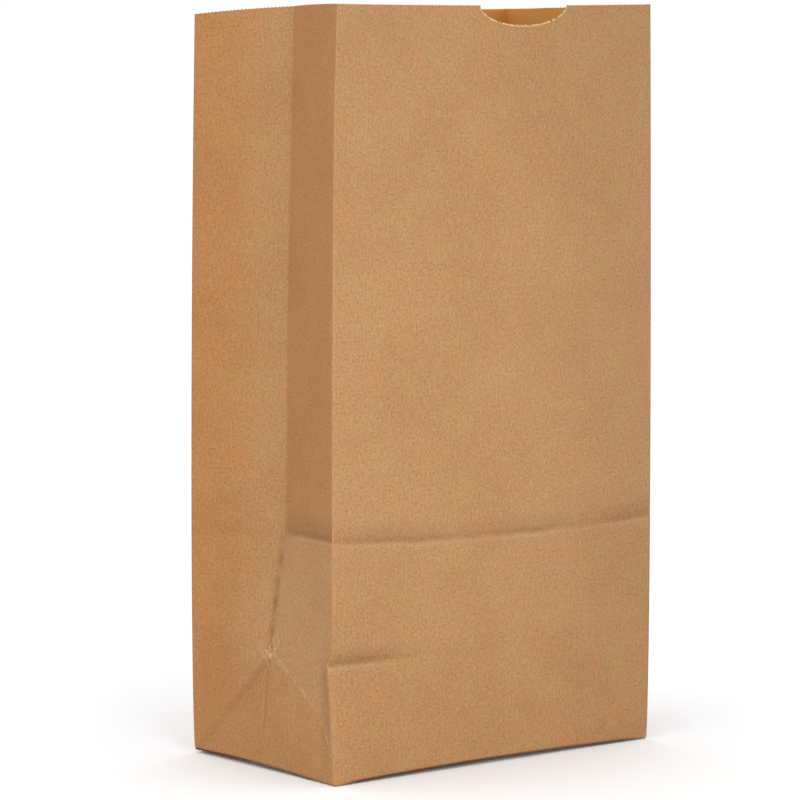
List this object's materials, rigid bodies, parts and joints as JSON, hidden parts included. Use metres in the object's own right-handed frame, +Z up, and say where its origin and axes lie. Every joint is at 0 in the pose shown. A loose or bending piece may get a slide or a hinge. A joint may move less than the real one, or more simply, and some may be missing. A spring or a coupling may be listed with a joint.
{
  "type": "paper bag",
  "caption": "Kraft paper bag with a square block bottom, side gussets and a thumb notch, standing open; its creases are hinges, so it folds flat.",
  "frame": {"origin": "middle of the rest face, on the surface the bag stands on", "axes": "+Z up, -Y the front panel with the thumb notch, +X to the right"},
  "size_m": [0.152, 0.087, 0.282],
  "materials": {
    "kraft": "matt machine-finished kraft paper",
    "paste": "dried starch paste"
  },
  "bodies": {
    "back": {"back_panel": "kraft", "seam_paste": "paste", "seam_lap": "kraft"},
    "left_rear": {"left_gusset_rear": "kraft"},
    "left_front": {"left_gusset_front": "kraft"},
    "front": {"front_panel": "kraft"},
    "right_rear": {"right_gusset_rear": "kraft"},
    "right_front": {"right_gusset_front": "kraft"},
    "strip": {"front_lower_strip": "kraft"},
    "bottom": {"bottom_outer_flap": "kraft", "bottom_paste": "paste", "bottom_inner_flap": "kraft", "bottom_tuck_left": "kraft", "bottom_tuck_right": "kraft"},
    "left_bottom_facet": {"left_bottom_facet": "kraft"},
    "right_bottom_facet": {"right_bottom_facet": "kraft"},
    "left_strip_facet": {"left_strip_facet": "kraft"},
    "right_strip_facet": {"right_strip_facet": "kraft"}
  },
  "joints": [
    {"name": "fold", "type": "hinge", "parent": "back", "child": "left_rear", "pos_m": [-0.07585, 0.04335, 0.141], "axis": [0, 0, 1], "range_deg": [0, 87]},
    {"name": "left_centre_crease", "type": "hinge", "parent": "left_rear", "child": "left_front", "pos_m": [-0.076, 0, 0.141], "axis": [0, 0, -1], "range_deg": [0, 174]},
    {"name": "front_corner_crease", "type": "hinge", "parent": "left_front", "child": "front", "pos_m": [-0.07585, -0.04335, 0.141], "axis": [0, 0, 1], "range_deg": [0, 87]},
    {"name": "right_rear_crease", "type": "hinge", "parent": "back", "child": "right_rear", "pos_m": [0.07585, 0.04335, 0.141], "axis": [0, 0, -1], "range_deg": [0, 87]},
    {"name": "right_centre_crease", "type": "hinge", "parent": "right_rear", "child": "right_front", "pos_m": [0.076, 0, 0.141], "axis": [0, 0, 1], "range_deg": [0, 174]},
    {"name": "strip_crease", "type": "hinge", "parent": "front", "child": "strip", "pos_m": [0, -0.0435, 0.0435], "axis": [-1, 0, 0], "range_deg": [0, 174]},
    {"name": "bottom_crease", "type": "hinge", "parent": "strip", "child": "bottom", "pos_m": [0, -0.04335, 0.0005], "axis": [1, 0, 0], "range_deg": [0, 87]},
    {"name": "left_bottom_facet_crease", "type": "hinge", "parent": "bottom", "child": "left_bottom_facet", "pos_m": [-0.07585, 0, 0.0005], "axis": [0, 1, 0], "range_deg": [0, 88.74], "deforming": ["left_bottom_facet"]},
    {"name": "left_strip_facet_crease", "type": "hinge", "parent": "strip", "child": "left_strip_facet", "pos_m": [-0.07585, -0.04335, 0.02175], "axis": [0, 0, -1], "range_deg": [0, 88.74], "deforming": ["left_strip_facet"]},
    {"name": "right_bottom_facet_crease", "type": "hinge", "parent": "bottom", "child": "right_bottom_facet", "pos_m": [0.07585, 0, 0.0005], "axis": [0, -1, 0], "range_deg": [0, 88.74], "deforming": ["right_bottom_facet"]},
    {"name": "right_strip_facet_crease", "type": "hinge", "parent": "strip", "child": "right_strip_facet", "pos_m": [0.07585, -0.04335, 0.02175], "axis": [0, 0, 1], "range_deg": [0, 88.74], "deforming": ["right_strip_facet"]}
  ],
  "couplings": [
    {"joint": "left_centre_crease", "follows": "fold", "ratio": 2},
    {"joint": "front_corner_crease", "follows": "fold", "ratio": 1},
    {"joint": "right_rear_crease", "follows": "fold", "ratio": 1},
    {"joint": "right_centre_crease", "follows": "fold", "ratio": 2},
    {"joint": "strip_crease", "follows": "fold", "ratio": 2},
    {"joint": "bottom_crease", "follows": "fold", "ratio": 1},
    {"joint": "left_bottom_facet_crease", "follows": "fold", "ratio": 1.02},
    {"joint": "left_strip_facet_crease", "follows": "fold", "ratio": 1.02},
    {"joint": "right_bottom_facet_crease", "follows": "fold", "ratio": 1.02},
    {"joint": "right_strip_facet_crease", "follows": "fold", "ratio": 1.02}
  ]
}
